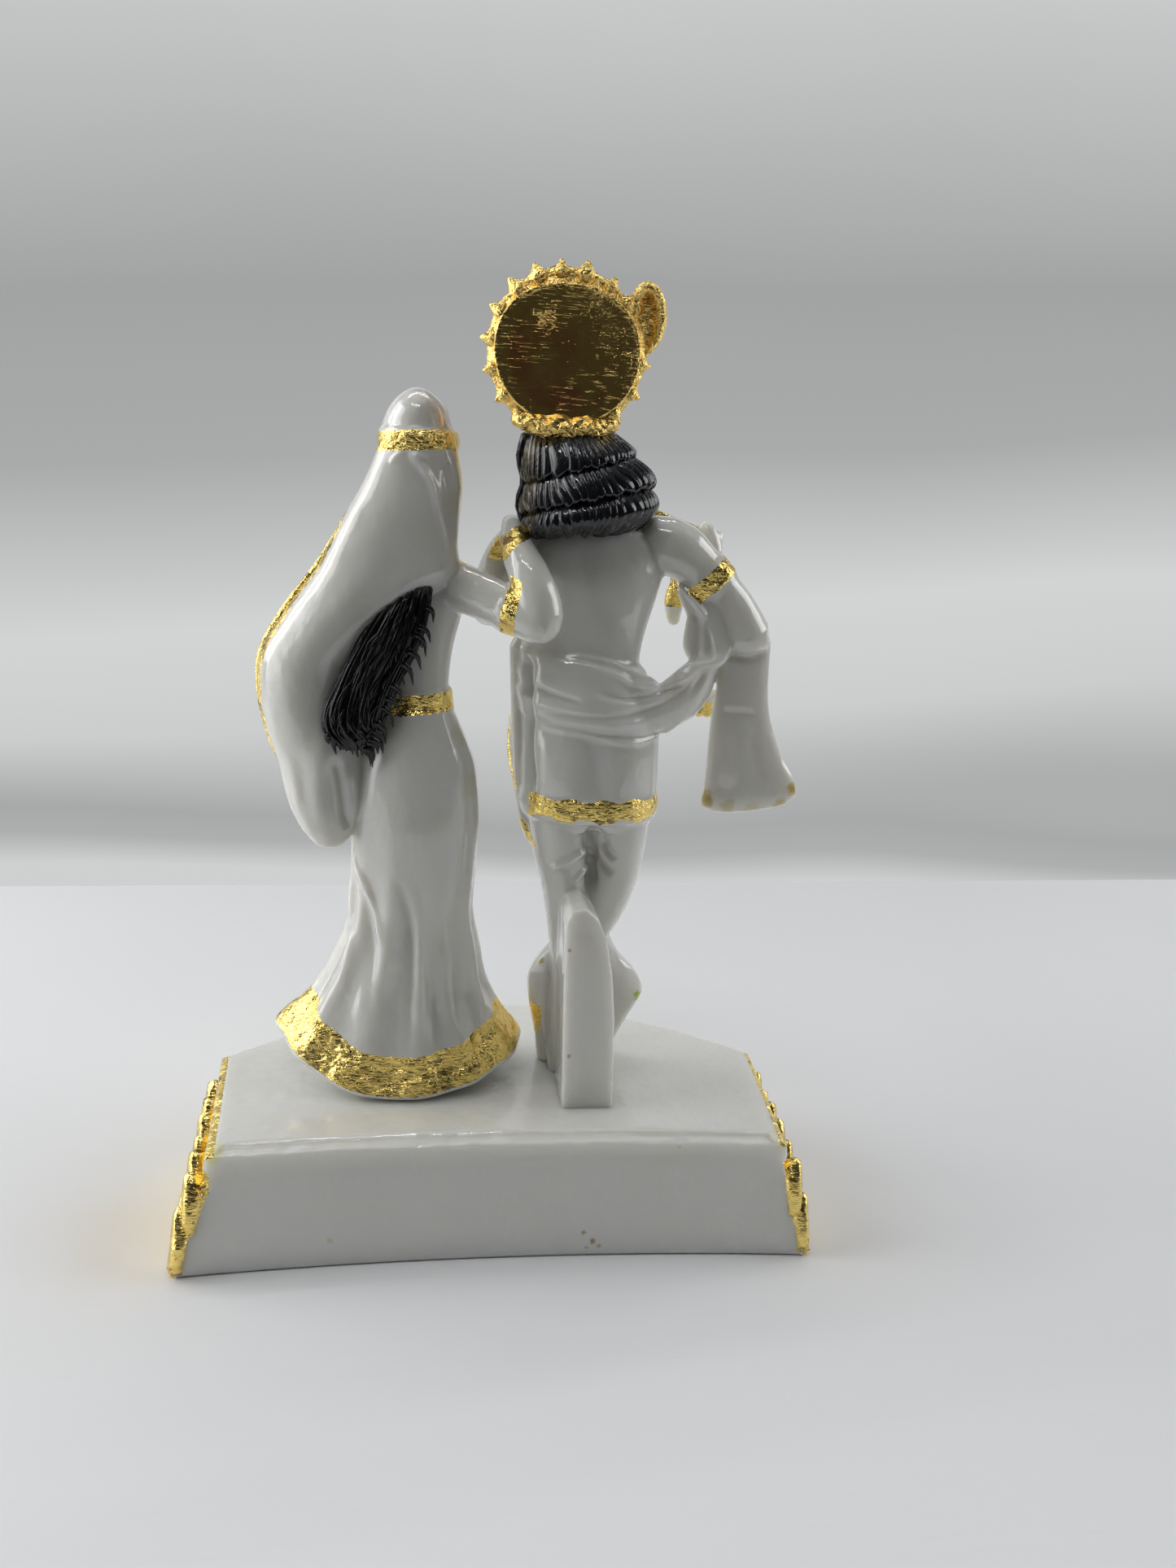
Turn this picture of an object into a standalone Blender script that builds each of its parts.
"""A small white cast statue of Radha and Krishna standing together on one low plinth.

Metres, +Z up. The figures face -Y, so their backs are towards +Y.
The origin is on the table, under the middle of the plinth.
The statue is one casting: plinth, prop, two figures, hair, crown and flute are a single solid.
"""

import math

import bmesh
import bpy
import numpy as np
from mathutils import Matrix, Vector

MM = 0.001

# Driving dimensions of the plinth, in millimetres.
PLINTH_HEIGHT = 27.4
PLINTH_BACK_WIDTH = 121.6
PLINTH_FRONT_SPREAD = 3.0
PLINTH_SIDE_DEPTH = 41.3
PLINTH_BOW = 27.4
PLINTH_BACK_HOLLOW = 2.9
PLINTH_BACK_EDGE = 35.0
SIDE_FLARE = 7.1
BACK_FLARE = 2.8
FRONT_FLARE = 2.4
EDGE_ROUND = 1.4
BACK_BEVEL = 2.6
BACK_BEVEL_DROP = 0.8
LEAF_WIDTH = 10.2
LEAF_RELIEF = 1.7
LEAF_TIP = 22.5
BACK_STEPS, END_STEPS, FRONT_STEPS = 12, 4, 22

# From the plinth to the top of the crown. The figures keep their pose as shares of this height:
# their numbers below are in units of which FIGURE_UNITS make the height, each about 1 mm.
FIGURE_HEIGHT = 177.8
FIGURE_UNITS = 177.8
SCALE = FIGURE_HEIGHT / FIGURE_UNITS

# How the casting is fused and how finely it is faceted.
VOXEL = 0.8
FUSE_PASSES = 2
FIGURE_TRIANGLES = 6750
SINK = 1.6


def remove_everything():
    for obj in list(bpy.data.objects):
        bpy.data.objects.remove(obj)


def spline_rows(stations, count):
    """Rows read from a smooth curve through the stations."""
    keys = np.array(stations, float)
    padded = np.vstack([2 * keys[0] - keys[1], keys, 2 * keys[-1] - keys[-2]])
    places = np.linspace(0, len(keys) - 1, count)
    first = np.minimum(places.astype(int), len(keys) - 2)
    share = (places - first)[:, None]
    before, start, end, after = (padded[first + k] for k in range(4))
    bend = 2 * before - 5 * start + 4 * end - after
    turn = 3 * start - before - 3 * end + after
    return 0.5 * (2 * start + (end - before) * share + bend * share**2 + turn * share**3)


def round_section(half_width, half_depth, sides, power=2.0):
    """Points of a rounded section: power 2 is an ellipse, and more is squarer."""
    angles = np.arange(sides) * 2 * math.pi / sides
    c, s = np.cos(angles), np.sin(angles)
    share = 2 / power
    across = half_width * np.sign(c) * np.abs(c) ** share
    along = half_depth * np.sign(s) * np.abs(s) ** share
    return angles, across, along


class Casting:
    """Overlapping forms of the figures, in millimetres above the plinth, to be fused into one."""

    def __init__(self):
        self.mesh = bmesh.new()

    def loft(self, rings):
        """A closed skin over rings of points, with a rounded-in fan at each end."""
        rows = [[self.mesh.verts.new(point) for point in ring] for ring in rings]
        sides = len(rows[0])
        for lower, upper in zip(rows, rows[1:]):
            for i in range(sides):
                j = (i + 1) % sides
                self.mesh.faces.new((lower[i], lower[j], upper[j], upper[i]))
        for row, ring in ((rows[0], rings[0]), (rows[-1], rings[-1])):
            middle = self.mesh.verts.new(np.mean(ring, axis=0))
            for i in range(sides):
                self.mesh.faces.new((row[i], row[(i + 1) % sides], middle))

    def stack(self, stations, count=24, sides=32, power=2.0, slope=0.0, fold=None):
        """Sections (height, x, y, half width, half depth), tilted sideways by a slope, given or sixth."""
        rings = []
        for height, x, y, half_width, half_depth, *own_slope in spline_rows(stations, count):
            angles, across, along = round_section(half_width, half_depth, sides, power)
            swell = np.ones(sides) if fold is None else 1 + fold(angles, height)
            across, along = across * swell, along * swell
            level = height + (own_slope[0] if own_slope else slope) * across
            rings.append(np.stack([x + across, y + along, level], axis=1))
        self.loft(rings)

    def limb(self, stations, width_axis, count=16, sides=16, power=2.0):
        """Sections (x, y, z, half width, half thickness) square to a path, with domed ends."""
        rows = spline_rows(stations, count)
        path = rows[:, :3]
        along = np.gradient(path, axis=0)
        along /= np.linalg.norm(along, axis=1)[:, None]
        rings = []
        dome = (0.35, 0.75, 1.0)
        for row, forward in zip(rows, along):
            wide = np.array(width_axis, float)
            wide -= forward * (wide @ forward)
            wide /= np.linalg.norm(wide)
            thick = np.cross(forward, wide)
            _, a, b = round_section(row[3], row[4], sides, power)
            rings.append((row[:3], wide, thick, a, b, forward, row[4]))
        out = []
        for share in dome[:2]:
            c, wide, thick, a, b, forward, reach = rings[0]
            back = c - forward * reach * math.sqrt(1 - share**2)
            out.append(back + np.outer(a * share, wide) + np.outer(b * share, thick))
        for c, wide, thick, a, b, forward, reach in rings:
            out.append(c + np.outer(a, wide) + np.outer(b, thick))
        for share in reversed(dome[:2]):
            c, wide, thick, a, b, forward, reach = rings[-1]
            ahead = c + forward * reach * math.sqrt(1 - share**2)
            out.append(ahead + np.outer(a * share, wide) + np.outer(b * share, thick))
        self.loft(out)

    def ball(self, centre, radii, turn=0.0):
        """An egg shape, turned about the Y axis by so many degrees."""
        matrix = (
            Matrix.Translation(Vector(centre))
            @ Matrix.Rotation(math.radians(turn), 4, "Y")
            @ Matrix.Diagonal((*radii, 1.0))
        )
        bmesh.ops.create_uvsphere(self.mesh, u_segments=16, v_segments=10, radius=1.0, matrix=matrix)

    def drum(self, centre, radius, depth, sides=48):
        """A round plate whose flat faces look along Y."""
        matrix = Matrix.Translation(Vector(centre)) @ Matrix.Rotation(math.radians(90), 4, "X")
        bmesh.ops.create_cone(
            self.mesh, cap_ends=True, segments=sides, radius1=radius, radius2=radius, depth=depth, matrix=matrix
        )

    def cuff(self, start, end, radii, spread=0.6):
        """A raised band round a limb, from start to end."""
        rows = [(*start, radii[0] + spread, radii[1] + spread), (*end, radii[0] + spread, radii[1] + spread)]
        self.limb(rows, (0, 0.2, 1), count=3, sides=16)


def sides_of(left, right, back, front):
    """Centre and half sizes of a section from its left, right, back and front limits."""
    return (left + right) / 2, (back + front) / 2, (left - right) / 2, (back - front) / 2


def between(rows):
    """Stations from rows of (height, left, right, back, front)."""
    return [(height, *sides_of(*limits)) for height, *limits in rows]


# Radha, on the +X side.
SKIRT_PLEATS = 15


def radha_skirt(casting):
    """A long gathered skirt whose hem lifts off the plinth at both sides, like a boat."""
    # Height at the back, x, y, half width, half depth, rise at +X, rise at -X, pleat depth.
    stations = [
        (90, 20.0, 3.0, 7.0, 5.6, 0, 0, 0),
        (84.4, 20.2, 3.0, 9.2, 7.2, 0, 0, 0),
        (79.6, 20.4, 2.8, 11.1, 8.8, 0, 0, 0),
        (74.3, 20.5, 2.5, 12.6, 9.8, 0, 0, 0),
        (62, 20.5, 2.0, 13.9, 10.4, 0, 0, 0.005),
        (52, 20.6, 1.5, 13.8, 10.2, 0, 0, 0.015),
        (40.5, 20.9, 1.0, 13.6, 10.2, 0, 0, 0.035),
        (31, 21.4, 0.6, 15.9, 11.2, 0, 0, 0.05),
        (22, 22.4, 0.0, 18.6, 12.8, 1.5, 1.0, 0.055),
        (10, 22.5, -0.4, 22.6, 15.2, 8.0, 5.5, 0.055),
        (2.2, 22.6, -0.6, 27.6, 17.6, 11.5, 7.0, 0.05),
        (0.6, 22.6, -0.6, 27.0, 17.0, 10.0, 6.0, 0.04),
        (-0.6, 22.6, -0.6, 20.0, 12.5, 6.0, 4.0, 0.0),
        (-SINK, 22.6, -0.6, 13.0, 9.0, 0.5, 0.5, 0.0),
    ]
    sides = 90
    rings = []
    for height, x, y, half_width, half_depth, rise_left, rise_right, pleat in spline_rows(stations, 56):
        angles, across, along = round_section(half_width, half_depth, sides)
        swell = 1 + pleat * np.sin(SKIRT_PLEATS * angles + 0.6 * np.sin(3 * angles))
        lean = np.cos(angles)
        rise = np.where(lean > 0, rise_left, rise_right) * np.abs(lean) ** 2.2
        rings.append(np.stack([x + across * swell, y + along * swell, height + rise], axis=1))
    casting.loft(rings[::-1])
    casting.limb([(17, -15, 1.2, 2.2, 1.6), (15.5, -20, 0.8, 2.0, 1.3)], (1, 0, 0), count=4)
    casting.limb([(27, -15, 1.2, 2.2, 1.6), (28.5, -20, 0.8, 2.0, 1.3)], (1, 0, 0), count=4)


def radha_body(casting):
    casting.stack(
        [
            (84, 20.3, 3.0, 8.6, 6.6),
            (89, 20.0, 3.0, 7.3, 5.7),
            (93, 20.2, 2.8, 7.2, 5.7),
            (100, 21.0, 2.3, 8.0, 6.3),
            (107, 21.8, 1.8, 9.6, 7.2),
            (113, 22.2, 1.6, 11.0, 7.0),
            (117, 22.3, 1.6, 10.6, 6.2),
            (120, 22.3, 1.3, 7.5, 5.2),
            (123, 22.2, 0.8, 4.4, 4.2),
            (127, 22.2, -0.2, 3.6, 3.8),
            (131, 22.2, -0.6, 3.6, 3.8),
        ]
    )
    for x in (17.8, 26.4):
        casting.ball((x, -4.2, 108.5), (3.7, 3.6, 3.7))
    casting.stack([(86.5, 19.8, 3, 8.4, 6.6), (89, 19.7, 3, 8.2, 6.5), (91.6, 19.9, 2.9, 8.2, 6.5)], count=5, slope=-0.07)


def radha_head(casting):
    casting.stack(
        [
            (126.2, 22.0, -5.2, 1.6, 1.6),
            (127.8, 22.0, -4.2, 3.6, 3.6),
            (131, 22.1, -2.7, 5.1, 5.8),
            (135, 22.1, -1.8, 6.0, 7.0),
            (139, 22.1, -1.3, 6.4, 7.5),
            (143, 22.1, -1.0, 6.0, 6.8),
            (146, 22.1, -0.8, 4.4, 5.0),
        ],
        sides=24,
    )
    casting.limb([(22.1, -8.2, 137.2, 0.6, 0.5), (22.1, -9.4, 134.2, 1.0, 0.9)], (1, 0, 0), count=4, sides=10)
    casting.stack(
        [
            (138.5, 22.1, 0.9, 7.4, 7.6),
            (142.5, 22.1, 0.2, 7.7, 8.2),
            (145.7, 22.5, 0.1, 6.9, 7.6),
            (148.9, 22.3, 0.2, 5.6, 6.3),
            (151.2, 22.4, 0.3, 3.3, 4.0),
            (152.4, 22.6, 0.3, 1.0, 1.2),
        ],
        sides=24,
    )
    casting.stack([(140.2, 22.1, 0.2, 8.2, 8.8), (142.2, 22.1, 0.2, 8.4, 9.0), (144.2, 22.2, 0.1, 8.0, 8.6)], count=5)


def veil_folds(angles, height):
    return 0.018 * np.sin(9 * angles + height * 0.02) * np.clip((150 - height) / 30, 0, 1)


def radha_veil(casting):
    """The veil falls from the head band over her back and left arm, and ends in a hanging fold."""
    casting.stack(
        between(
            [
                (141.5, 29.8, 14.4, 8.8, -3.2),
                (134.1, 32.7, 13.1, 10.2, -2.4),
                (127.8, 36.0, 13.3, 11.6, -2.0),
                (122.0, 39.0, 13.5, 12.4, -2.0),
                (116.6, 41.6, 13.2, 12.8, -2.4),
                (112.0, 44.6, 17.5, 12.6, -3.0),
                (108.0, 47.6, 23.0, 12.2, -3.4),
                (104.0, 50.2, 27.5, 12.0, -4.0),
                (99.5, 53.0, 31.0, 11.6, -4.4),
                (95.0, 54.3, 34.5, 11.2, -4.4),
                (87.3, 54.0, 36.0, 10.6, -3.6),
                (80.2, 52.2, 33.0, 10.2, -3.0),
                (75.0, 50.2, 31.8, 9.8, -2.2),
                (70.0, 49.0, 31.8, 9.4, -1.2),
                (65.0, 47.6, 32.2, 9.2, 0.0),
                (60.0, 45.0, 33.4, 8.6, 1.6),
                (56.6, 41.8, 36.2, 8.0, 3.6),
            ]
        ),
        count=50,
        sides=40,
        power=2.5,
        fold=veil_folds,
    )
    edge = [
        (43.5, -1, 114, 1.1, 1.1),
        (49.2, -1.5, 105.6, 1.1, 1.1),
        (53.8, -2, 96.5, 1.1, 1.1),
        (53.9, -2, 87.8, 1.1, 1.1),
        (52.0, -1.8, 79.5, 1.1, 1.1),
        (49.6, -1.2, 73.6, 1.0, 1.0),
    ]
    casting.limb(edge, (0, 1, 0), count=20, sides=10)


def radha_hair(casting):
    casting.limb(
        [
            (19.8, 8.6, 113.6, 1.6, 1.8),
            (21.7, 9.6, 111.0, 2.9, 2.4),
            (24.3, 10.2, 106.4, 4.5, 2.8),
            (26.8, 10.2, 102.0, 5.5, 3.0),
            (29.9, 9.8, 95.8, 5.6, 3.2),
            (32.3, 9.6, 89.9, 5.8, 3.2),
            (34.1, 10.0, 85.3, 6.1, 3.2),
            (34.3, 10.2, 82.2, 5.2, 2.8),
            (34.2, 10.0, 80.2, 3.6, 2.0),
        ],
        (1, 0, 0.37),
        count=22,
        sides=18,
    )


def radha_arms(casting):
    """Her right arm lies along Krishna's back, bent at the elbow, with the hand on his shoulder."""
    casting.limb(
        [(14.5, 3.0, 113.6, 5.2, 5.2), (8.5, 7.0, 112.0, 4.9, 4.9), (2.5, 11.0, 110.0, 4.8, 4.8), (-3.0, 14.0, 108.2, 4.9, 4.8)],
        (0, 0.3, 1),
    )
    casting.limb(
        [
            (-3.4, 14.4, 108.6, 4.7, 4.5),
            (-2.6, 13.8, 112.5, 4.7, 4.4),
            (-0.6, 11.6, 117.5, 4.3, 4.0),
            (1.4, 7.6, 122.0, 3.6, 3.4),
            (1.8, 3.0, 125.2, 3.0, 2.8),
            (1.0, -2.0, 126.4, 3.2, 1.8),
            (-0.8, -6.0, 124.8, 3.0, 1.3),
            (-2.0, -8.0, 122.0, 2.4, 1.0),
        ],
        (1, 0.3, 0.2),
        count=24,
    )
    casting.cuff((5.2, 9.4, 110.8), (2.2, 11.2, 109.8), (4.9, 4.9))
    casting.limb(
        [(50.0, 1.0, 92.0, 4.6, 4.6), (47.0, -5.5, 93.0, 4.2, 4.2), (41.0, -11.0, 97.0, 3.4, 3.4), (35.5, -13.2, 102.0, 2.7, 2.7)],
        (0, 0, 1),
    )
    casting.limb([(34.6, -13.2, 103.4, 2.6, 1.8), (32.6, -12.6, 107.4, 2.2, 1.4)], (1, 0, 0.4), count=4)


# Krishna, on the -X side.
def hip_folds(angles, height):
    """A shallow dip down the middle of the back, and soft wrinkles."""
    back = np.exp(-(((angles - math.pi / 2) / 0.26) ** 2))
    band = math.exp(-(((height - 75) / 9) ** 2))
    return -0.10 * band * back


def krishna_body(casting):
    casting.stack(
        [
            (61.5, -17.8, 2.5, 12.6, 8.0),
            (64.2, -17.8, 2.6, 14.6, 9.6),
            (70.0, -17.5, 3.0, 15.1, 10.4),
            (78.0, -17.3, 3.2, 15.1, 10.8),
            (84.0, -17.0, 3.2, 15.0, 10.2),
            (90.0, -16.0, 3.0, 14.4, 9.2),
            (96.0, -14.8, 3.0, 13.0, 8.2),
            (99.5, -14.0, 3.0, 12.6, 7.6),
            (104.5, -14.0, 2.6, 13.2, 7.8),
            (111.0, -14.2, 2.2, 14.6, 8.4),
            (116.0, -14.3, 2.0, 15.8, 8.4),
            (121.0, -14.4, 1.8, 16.8, 7.6),
            (125.0, -14.3, 1.6, 15.0, 6.6),
            (128.5, -13.6, 1.2, 9.0, 5.4),
            (131.0, -13.0, 0.6, 5.0, 4.8),
            (135.0, -12.2, -0.4, 4.3, 4.5),
        ],
        count=44,
        sides=36,
        fold=hip_folds,
    )
    casting.stack(
        [(64.2, -17.8, 2.8, 15.0, 10.2), (67.0, -17.6, 2.9, 15.7, 10.9), (69.6, -17.5, 3.0, 15.4, 10.6)], count=5, sides=36
    )


def sash_folds(angles, height):
    return 0.016 * np.sin(height * 1.35 + 1.8 * np.sin(angles))


def krishna_scarf(casting):
    """A long scarf: round the hips, up over the right forearm, and down in a broad tail."""
    casting.stack(
        [
            (85.0, -16.6, 3.2, 14.8, 10.2),
            (86.6, -16.4, 3.2, 15.6, 11.4),
            (91.0, -15.8, 3.2, 15.4, 11.4),
            (96.0, -15.0, 3.0, 14.4, 10.4),
            (99.0, -14.4, 3.0, 13.5, 9.2),
            (100.6, -14.1, 3.0, 12.2, 7.8),
        ],
        count=22,
        sides=40,
        slope=0.13,
        fold=sash_folds,
    )
    casting.limb(
        [
            (-20.0, 8.5, 92.0, 7.4, 3.2),
            (-26.0, 8.5, 90.6, 6.7, 3.2),
            (-31.0, 7.5, 89.8, 5.3, 3.2),
            (-36.5, 6.0, 92.6, 5.9, 3.2),
            (-40.2, 4.6, 98.0, 6.0, 3.4),
            (-41.5, 3.6, 104.5, 5.7, 3.6),
            (-40.5, 3.0, 110.5, 4.6, 3.4),
            (-36.8, 2.6, 114.6, 3.0, 2.8),
        ],
        (0.3, 0, -1),
        count=30,
        sides=20,
    )
    casting.limb(
        [
            (-50.4, 3.0, 105.0, 5.2, 3.6),
            (-50.4, 2.6, 95.0, 5.8, 3.2),
            (-50.6, 2.5, 88.0, 6.7, 2.9),
            (-51.5, 2.5, 82.0, 7.8, 2.8),
            (-52.9, 2.5, 75.5, 9.3, 2.7),
            (-54.2, 2.5, 70.5, 11.0, 2.6),
            (-54.6, 2.5, 67.8, 11.2, 2.4),
        ],
        (1, 0, 0),
        count=18,
        sides=24,
        power=2.4,
    )
    # A folded end hangs at his left, in front, and another lies over it.
    casting.limb(
        [
            (-4.0, -1.0, 101.0, 5.6, 3.6),
            (-4.6, -1.5, 90.0, 5.4, 3.6),
            (-5.6, -1.5, 78.0, 5.4, 3.4),
            (-6.4, -1.5, 68.0, 5.2, 3.2),
            (-8.0, -1.0, 60.0, 4.8, 3.0),
            (-9.5, -1.0, 57.0, 4.0, 2.6),
        ],
        (1, 0.1, 0),
        count=14,
        sides=16,
    )
    casting.limb([(-4.6, -7.0, 84.0, 5.0, 2.0), (-5.0, -8.0, 76.0, 5.4, 2.0), (-6.2, -8.2, 69.0, 5.0, 1.8)], (1, 0, 0), count=8)


def krishna_arms(casting):
    casting.limb(
        [
            (-30.0, 1.5, 124.4, 6.2, 6.2),
            (-35.0, 1.8, 122.4, 5.9, 5.9),
            (-41.0, 2.0, 117.4, 4.8, 4.8),
            (-46.3, 2.5, 111.4, 5.1, 5.1),
            (-49.8, 3.0, 105.6, 5.8, 5.6),
        ],
        (0, 1, 0),
        count=20,
    )
    casting.limb(
        [(-50.0, 2.5, 105.0, 5.3, 5.2), (-48.6, -3.5, 106.4, 4.6, 4.6), (-46.4, -9.0, 111.4, 3.7, 3.6), (-44.6, -13.0, 118.4, 2.7, 2.6)],
        (1, 0, 0),
        count=14,
    )
    casting.limb([(-44.6, -13.6, 120.6, 2.3, 2.4), (-43.8, -14.6, 124.6, 2.2, 2.8)], (1, 0, 0), count=5)
    casting.cuff((-39.6, 2.0, 118.8), (-42.2, 2.1, 116.2), (5.0, 5.0))
    casting.limb(
        [(-1.5, 1.0, 122.6, 6.2, 6.2), (2.4, -0.8, 119.4, 5.0, 5.2), (5.0, -4.6, 113.5, 4.5, 4.6), (5.6, -8.6, 108.0, 4.4, 4.4)],
        (0, 1, 0),
        count=14,
    )
    casting.limb(
        [(5.4, -9.0, 107.8, 4.2, 4.2), (-2.0, -13.6, 112.4, 3.7, 3.7), (-13.0, -16.2, 120.6, 3.0, 3.0), (-21.6, -16.4, 127.0, 2.5, 2.5)],
        (0, 1, 0),
        count=16,
    )
    casting.limb([(-22.6, -16.2, 128.0, 2.2, 2.4), (-26.4, -15.4, 131.2, 1.9, 2.4)], (0, 1, 0), count=5)
    casting.cuff((0.6, 0.0, 121.6), (2.8, -1.2, 118.6), (5.6, 5.6))


def krishna_legs(casting):
    """He stands on his left leg, and the right one crosses it on its toes."""
    casting.limb(
        [
            (-10.6, 3.0, 66.0, 6.8, 8.0),
            (-12.0, 2.4, 56.0, 6.4, 7.2),
            (-13.6, 2.0, 46.0, 5.2, 6.2),
            (-15.0, 2.2, 36.0, 4.8, 5.6),
            (-16.6, 2.0, 24.0, 4.8, 4.8),
            (-16.4, 1.6, 10.0, 4.6, 4.0),
            (-16.6, 1.0, 0.0, 4.4, 4.0),
        ],
        (1, 0, 0),
        count=24,
        sides=20,
    )
    casting.limb([(-18.6, 2.0, 1.8, 3.4, 2.6), (-20.0, -6.0, 1.8, 3.6, 2.2), (-21.4, -13.0, 1.0, 3.2, 1.5)], (1, 0, 0), count=8)
    casting.limb(
        [
            (-24.6, 2.0, 66.0, 7.4, 8.2),
            (-24.4, 0.6, 55.0, 7.0, 7.4),
            (-23.4, -1.0, 46.0, 6.8, 6.6),
            (-20.6, -2.6, 36.0, 5.6, 5.4),
            (-16.0, -3.4, 29.0, 4.4, 4.4),
            (-11.2, -2.6, 24.4, 3.4, 3.4),
            (-9.4, -1.4, 21.6, 3.0, 3.0),
        ],
        (1, 0, 0.2),
        count=26,
        sides=20,
    )
    casting.limb(
        [(-9.2, -1.0, 22.6, 2.8, 3.2), (-9.8, -1.0, 17.0, 2.8, 3.4), (-11.2, -1.8, 9.0, 2.4, 3.0), (-12.4, -3.4, 1.6, 2.6, 2.6)],
        (1, 0, 0),
        count=12,
    )
    # The loose end of the leg cloth stands out to a point at his right.
    casting.stack(
        between(
            [
                (33, -18, -25.4, 1, -6),
                (28, -17, -28.2, 0, -7),
                (23.5, -17, -32.4, -0.6, -7),
                (19, -17, -34.8, -1, -7),
                (16, -17, -34.3, -1.2, -7),
                (10, -18, -31.4, -2, -7),
                (4, -19, -28.8, -2.6, -7),
                (-SINK, -20, -27.2, -2.6, -7),
            ]
        )[::-1],
        count=20,
        sides=24,
        power=2.6,
    )


def krishna_head(casting):
    casting.stack(
        [
            (130.6, -11.9, -7.4, 1.7, 1.7),
            (132.2, -11.8, -6.4, 3.9, 4.0),
            (136.0, -11.4, -4.8, 5.6, 6.4),
            (140.0, -10.9, -3.8, 6.5, 7.7),
            (144.0, -10.4, -3.2, 6.9, 8.1),
            (148.0, -9.9, -2.8, 6.7, 7.7),
            (152.0, -9.3, -2.2, 5.0, 6.0),
        ],
        sides=24,
    )
    casting.limb([(-11.1, -11.2, 142.2, 0.6, 0.5), (-11.3, -12.4, 138.8, 1.1, 1.0)], (1, 0, 0), count=4, sides=10)


HAIR_TIERS = [
    (124.6, -11.4, 2.6, 8.0, 5.6, -0.12),
    (126.0, -11.8, 3.6, 11.6, 9.6, -0.13),
    (128.4, -13.1, 4.0, 13.6, 11.8, -0.17),
    (131.0, -13.5, 4.2, 14.2, 12.2, -0.20),
    (132.8, -12.8, 4.2, 13.0, 11.2, -0.25),
    (133.8, -12.7, 4.2, 13.6, 11.8, -0.27),
    (136.4, -11.8, 3.8, 12.5, 11.2, -0.28),
    (138.4, -10.8, 3.6, 11.0, 10.2, -0.28),
    (139.6, -10.3, 3.6, 11.2, 10.8, -0.28),
    (142.0, -9.1, 3.2, 10.4, 10.0, -0.26),
    (144.6, -8.2, 2.6, 9.1, 9.0, -0.2),
    (147.0, -8.0, 1.6, 7.6, 7.4, -0.12),
]


def krishna_hair(casting):
    """Three rolled tiers of hair, lower at his left, falling to the shoulders, and a lock before the ear."""
    casting.stack(HAIR_TIERS, count=48, sides=36)
    casting.limb(
        [
            (0.2, 4.0, 144.0, 1.4, 1.8),
            (0.9, 4.2, 139.5, 1.4, 2.0),
            (-0.1, 4.4, 135.5, 1.5, 2.0),
            (0.7, 4.4, 131.0, 1.5, 2.0),
            (-0.3, 4.0, 127.0, 1.2, 1.6),
        ],
        (1, 0, 0),
        count=14,
        sides=10,
    )


CROWN_CENTRE = (-6.3, 160.7)
CROWN_RADIUS = 15.6
CROWN_BACK = 10.2
CROWN_THICKNESS = 3.6
CROWN_KNOBS = 18
FIRST_KNOB = 16.5


def krishna_crown(casting):
    """A tall cap with a round back plate edged in knobs, and a peacock feather at one side."""
    x, z = CROWN_CENTRE
    plate_y = CROWN_BACK - CROWN_THICKNESS / 2
    casting.drum((x, plate_y, z), CROWN_RADIUS, CROWN_THICKNESS)
    for i in range(CROWN_KNOBS):
        angle = math.radians(FIRST_KNOB + i * 360 / CROWN_KNOBS)
        out = np.array([math.cos(angle), 0, math.sin(angle)])
        root = np.array([x, plate_y, z]) + out * (CROWN_RADIUS - 0.6)
        tip = root + out * 1.9
        casting.limb([(*root, 1.5, 1.3), (*tip, 0.8, 0.8)], (0, 1, 0), count=3, sides=8)
    casting.stack(
        [
            (144.2, -8.8, -1.0, 7.8, 8.6),
            (145.6, -8.4, -0.6, 8.9, 10.0),
            (148.6, -8.4, -0.6, 8.9, 10.0),
            (150.0, -8.6, -1.4, 7.9, 8.6),
            (156.0, -8.4, -1.0, 6.8, 7.0),
            (162.0, -7.4, 1.0, 5.0, 5.4),
            (167.0, -6.8, 3.0, 3.4, 4.0),
            (171.0, -6.6, 4.4, 1.6, 2.0),
        ],
        sides=24,
    )
    casting.limb(
        [(-19.2, 6.4, 161.6, 1.4, 1.5), (-21.8, 6.0, 165.6, 3.0, 1.7), (-22.8, 5.8, 169.4, 3.1, 1.7), (-21.8, 6.0, 173.2, 1.9, 1.4)],
        (1, 0, 0.35),
        count=12,
    )


def curve_form(casting, points, radius):
    """A round tube or cord through the points, as a Blender curve made into a mesh."""
    data = bpy.data.curves.new("tube", "CURVE")
    data.dimensions = "3D"
    data.bevel_depth = radius
    data.bevel_resolution = 2
    data.use_fill_caps = True
    spline = data.splines.new("POLY")
    spline.points.add(len(points) - 1)
    for place, point in zip(spline.points, points):
        place.co = (*point, 1.0)
    guide = bpy.data.objects.new("tube", data)
    bpy.context.scene.collection.objects.link(guide)
    bpy.context.view_layer.update()
    mesh = bpy.data.meshes.new_from_object(guide.evaluated_get(bpy.context.evaluated_depsgraph_get()))
    bpy.data.objects.remove(guide)
    tube = bmesh.new()
    tube.from_mesh(mesh)
    bmesh.ops.remove_doubles(tube, verts=tube.verts, dist=0.01)
    tube.to_mesh(mesh)
    tube.free()
    casting.mesh.from_mesh(mesh)


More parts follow.
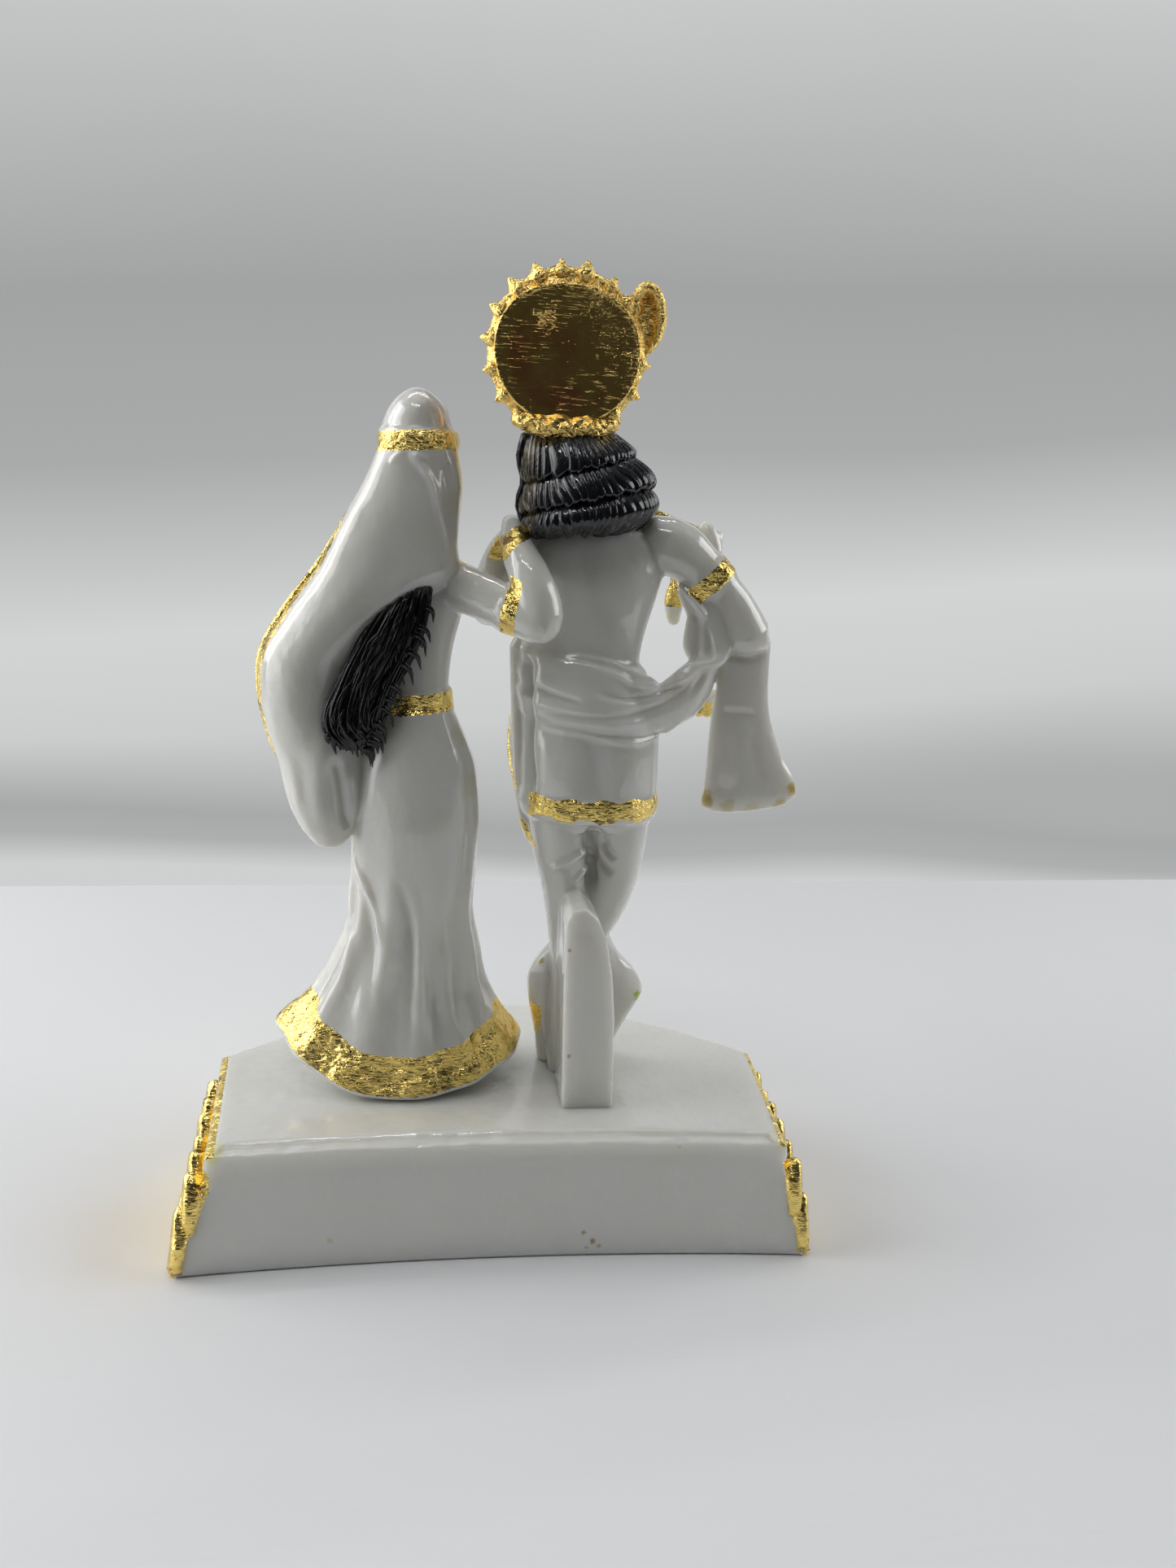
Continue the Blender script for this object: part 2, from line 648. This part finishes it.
FLUTE = [(-3.0, -14.2, 138.4), (-47.4, -15.6, 124.6)]
FLUTE_RADIUS = 1.3
GARLAND = [
    (-1.0, -4.0, 125.5),
    (-2.6, -8.6, 116.0),
    (-5.6, -9.4, 100.0),
    (-9.0, -10.6, 80.0),
    (-12.4, -9.6, 62.0),
    (-17.4, -9.0, 54.0),
    (-22.6, -9.6, 62.0),
    (-26.0, -10.6, 80.0),
    (-27.4, -9.4, 100.0),
    (-27.6, -8.4, 116.0),
    (-26.6, -4.0, 125.5),
]


def krishna_small_things(casting):
    curve_form(casting, FLUTE, FLUTE_RADIUS)
    garland = spline_rows([(*point, 0, 0) for point in GARLAND], 34)[:, :3]
    curve_form(casting, garland, 1.5)
    # A tassel hangs from the flute, and a gilt flower from the scarf.
    curve_form(casting, [(-36.4, -15.0, 127.6), (-36.4, -12.8, 112.6)], 0.9)
    casting.limb([(-36.4, -12.6, 113.2, 1.7, 1.5), (-36.6, -12.4, 110.0, 2.2, 1.9), (-36.9, -12.2, 106.4, 1.5, 1.3)], (1, 0, 0), count=8, sides=12)
    casting.limb([(-47.4, 0.6, 91.6, 1.4, 1.4), (-47.2, -3.4, 89.4, 2.2, 2.0)], (1, 0, 0), count=4, sides=12)
    for angle in (200, 245, 290):
        reach = np.array([math.cos(math.radians(angle)), 0, math.sin(math.radians(angle))]) * 3.0
        petal = np.array([-47.0, -3.8, 88.8]) + reach
        casting.ball(petal, (1.4, 1.0, 1.4))


PROP_BACK = 20.0
PROP_DEPTH = 14.0


def prop(casting):
    """A plain upright slab behind Krishna's legs, with a leaning round top."""
    outline = [(-13.6, -SINK), (-12.6, 20.0), (-12.0, 36.0), (-11.8, 44.0), (-13.0, 47.2), (-16.2, 47.8)]
    outline += [(-19.0, 45.2), (-21.2, 40.0), (-22.9, 32.0), (-24.0, 22.0), (-25.2, -SINK)]
    data = bpy.data.curves.new("prop", "CURVE")
    data.dimensions = "2D"
    data.fill_mode = "BOTH"
    data.extrude = PROP_DEPTH / 2
    spline = data.splines.new("POLY")
    spline.points.add(len(outline) - 1)
    spline.use_cyclic_u = True
    for place, (x, z) in zip(spline.points, outline):
        place.co = (x, z, 0.0, 1.0)
    guide = bpy.data.objects.new("prop", data)
    bpy.context.scene.collection.objects.link(guide)
    bpy.context.view_layer.update()
    mesh = bpy.data.meshes.new_from_object(guide.evaluated_get(bpy.context.evaluated_depsgraph_get()))
    bpy.data.objects.remove(guide)
    mesh.transform(Matrix.Translation((0, PROP_BACK - PROP_DEPTH / 2, 0)) @ Matrix.Rotation(math.radians(90), 4, "X"))
    slab = bmesh.new()
    slab.from_mesh(mesh)
    bmesh.ops.remove_doubles(slab, verts=slab.verts, dist=0.01)
    slab.to_mesh(mesh)
    slab.free()
    casting.mesh.from_mesh(mesh)


def fused_figures():
    """All the forms of the figures as one closed skin with soft joins and few faces."""
    casting = Casting()
    for build in (
        radha_skirt, radha_body, radha_head, radha_veil, radha_hair, radha_arms,
        krishna_body, krishna_scarf, krishna_arms, krishna_legs, krishna_head, krishna_hair,
        krishna_crown, krishna_small_things, prop,
    ):
        build(casting)
    bmesh.ops.recalc_face_normals(casting.mesh, faces=casting.mesh.faces)
    casting.mesh.transform(Matrix.Translation((0, 0, PLINTH_HEIGHT * MM)) @ Matrix.Scale(SCALE * MM, 4))
    mesh = bpy.data.meshes.new("figures")
    casting.mesh.to_mesh(mesh)
    casting.mesh.free()
    figures = bpy.data.objects.new("figures", mesh)
    bpy.context.scene.collection.objects.link(figures)

    fuse = figures.modifiers.new("fuse", "REMESH")
    fuse.mode = "VOXEL"
    fuse.voxel_size = VOXEL * MM * SCALE
    soften = figures.modifiers.new("soften", "SMOOTH")
    soften.factor = 0.5
    soften.iterations = FUSE_PASSES
    bpy.context.view_layer.update()
    fused = figures.evaluated_get(bpy.context.evaluated_depsgraph_get()).to_mesh()
    fused.calc_loop_triangles()
    share = FIGURE_TRIANGLES / len(fused.loop_triangles)
    facet = figures.modifiers.new("facet", "DECIMATE")
    facet.ratio = share
    return figures


def arc(start, end, sag, count):
    """Points from start to just before end along an arc that bows out to the left by sag."""
    start, end = np.array(start, float), np.array(end, float)
    chord = end - start
    length = np.linalg.norm(chord)
    normal = np.array([-chord[1], chord[0]]) / length
    shares = np.linspace(0, 1, count, endpoint=False)
    bow = 4 * sag * shares * (1 - shares)
    return start + np.outer(shares, chord) + np.outer(bow, normal)


def plinth_outline(half_back, half_front, back, side, bow, hollow):
    """The plan of the plinth: a hollow back, two short sides and a bowed front."""
    front = back - side
    corners = [(half_back, back), (-half_back, back), (-half_front, front), (half_front, front)]
    return np.vstack(
        [
            arc(corners[0], corners[1], hollow, BACK_STEPS),
            arc(corners[1], corners[2], 0, END_STEPS),
            arc(corners[2], corners[3], -bow, FRONT_STEPS),
            arc(corners[3], corners[0], 0, END_STEPS),
        ]
    )


# Height share, and how much of the flare the plinth has there: a foot, a long cove and a lip.
PLINTH_PROFILE = [(0.0, 0.93), (0.06, 1.0), (0.2, 0.93), (0.4, 0.66), (0.6, 0.32), (0.8, 0.04), (0.88, 0.13)]


def plinth_ring(flare, inset=0.0, back_inset=0.0):
    """The plan of the plinth where its sides flare by this share."""
    half_back = PLINTH_BACK_WIDTH / 2
    half_front = half_back + PLINTH_FRONT_SPREAD
    return plinth_outline(
        half_back + SIDE_FLARE * flare - inset,
        half_front + SIDE_FLARE * flare * 0.6 - inset,
        PLINTH_BACK_EDGE + BACK_FLARE * flare - back_inset,
        PLINTH_SIDE_DEPTH + BACK_FLARE * flare - inset - back_inset,
        PLINTH_BOW + FRONT_FLARE * flare,
        PLINTH_BACK_HOLLOW,
    )


def make_plinth():
    """The plinth, with a sunk bevel along its top back edge."""
    rings = [(plinth_ring(flare), share * PLINTH_HEIGHT) for share, flare in PLINTH_PROFILE]
    rings.append((plinth_ring(0.10), PLINTH_HEIGHT - EDGE_ROUND))
    rings.append((plinth_ring(0.0, EDGE_ROUND * 0.3, 0.0), PLINTH_HEIGHT - EDGE_ROUND * 0.3))
    body = bmesh.new()
    rows = [[body.verts.new((x, y, z)) for x, y in points] for points, z in rings]
    # The top ring is level, and the back edge beyond it sits lower by the bevel's drop.
    points = plinth_ring(0.0, EDGE_ROUND, BACK_BEVEL)
    for vert in rows[-1]:
        if vert.co.y > PLINTH_BACK_EDGE - PLINTH_BACK_HOLLOW - 1:
            vert.co.z -= BACK_BEVEL_DROP
    rows.append([body.verts.new((x, y, PLINTH_HEIGHT)) for x, y in points])
    count = len(rows[0])
    for lower, upper in zip(rows, rows[1:]):
        for i in range(count):
            j = (i + 1) % count
            body.faces.new((lower[i], lower[j], upper[j], upper[i]))
    body.faces.new(rows[0])
    body.faces.new(rows[-1])
    bmesh.ops.recalc_face_normals(body, faces=body.faces)
    body.transform(Matrix.Scale(MM, 4))
    mesh = bpy.data.meshes.new("statue")
    body.to_mesh(mesh)
    body.free()
    return bpy.data.objects.new("statue", mesh)


def walk(points, spacing):
    """Places and outward directions at equal steps of about this spacing along the points."""
    steps = np.linalg.norm(np.diff(points, axis=0), axis=1)
    reach = np.concatenate([[0], np.cumsum(steps)])
    count = max(2, round(reach[-1] / spacing))
    found = []
    for k in range(count):
        here = (k + 0.5) * reach[-1] / count
        i = min(np.searchsorted(reach, here, side="right") - 1, len(steps) - 1)
        share = (here - reach[i]) / steps[i]
        along = (points[i + 1] - points[i]) / steps[i]
        found.append((points[i] + share * (points[i + 1] - points[i]), (along[1], -along[0])))
    return found


def plinth_leaves():
    """A row of upright carved leaves round the two ends and the front, as one mesh."""
    middle = plinth_ring(0.60)
    ring = np.vstack([middle[BACK_STEPS:], middle[:1]])
    low, high = plinth_ring(0.93), plinth_ring(0.04)
    corner = BACK_STEPS + END_STEPS
    lean = math.atan2(np.linalg.norm(low[corner] - high[corner]), 0.6 * PLINTH_HEIGHT)
    leaves = bmesh.new()
    corner, next_corner = END_STEPS, END_STEPS + FRONT_STEPS
    for stretch in (ring[: corner + 1], ring[corner : next_corner + 1], ring[next_corner:]):
        for (x, y), outward in walk(stretch, LEAF_WIDTH):
            centre = Matrix.Translation((x, y, PLINTH_HEIGHT * 0.42))
            turn = Matrix.Rotation(math.atan2(outward[1], outward[0]), 4, "Z")
            tilt = Matrix.Rotation(-abs(lean), 4, "Y")
            shape = Matrix.Diagonal((LEAF_RELIEF, LEAF_WIDTH * 0.53, LEAF_TIP - PLINTH_HEIGHT * 0.42, 1.0))
            bmesh.ops.create_uvsphere(
                leaves, u_segments=8, v_segments=5, radius=1.0, matrix=centre @ turn @ tilt @ shape
            )
    leaves.transform(Matrix.Scale(MM, 4))
    mesh = bpy.data.meshes.new("leaves")
    leaves.to_mesh(mesh)
    leaves.free()
    return bpy.data.objects.new("leaves", mesh)


def white_cast():
    material = bpy.data.materials.new("white_cast")
    material.use_nodes = True
    shader = material.node_tree.nodes["Principled BSDF"]
    shader.inputs["Base Color"].default_value = (0.80, 0.80, 0.77, 1.0)
    shader.inputs["Roughness"].default_value = 0.22
    shader.inputs["Metallic"].default_value = 0.0
    return material


def joined(statue, cutters, helper):
    """Adds one more shape to the statue as a Boolean union."""
    cutters.objects.link(helper)
    helper.hide_render = True
    helper.display_type = "WIRE"
    union = statue.modifiers.new(f"with {helper.name}", "BOOLEAN")
    union.operation = "UNION"
    union.solver = "EXACT"
    union.use_self = True
    union.object = helper


def main():
    remove_everything()
    parts = bpy.data.collections.new("Radha Krishna statue")
    cutters = bpy.data.collections.new("joined shapes")
    bpy.context.scene.collection.children.link(parts)
    bpy.context.scene.collection.children.link(cutters)

    figures = fused_figures()
    bpy.context.scene.collection.objects.unlink(figures)
    statue = make_plinth()
    parts.objects.link(statue)
    statue.data.materials.append(white_cast())
    joined(statue, cutters, figures)
    joined(statue, cutters, plinth_leaves())


main()
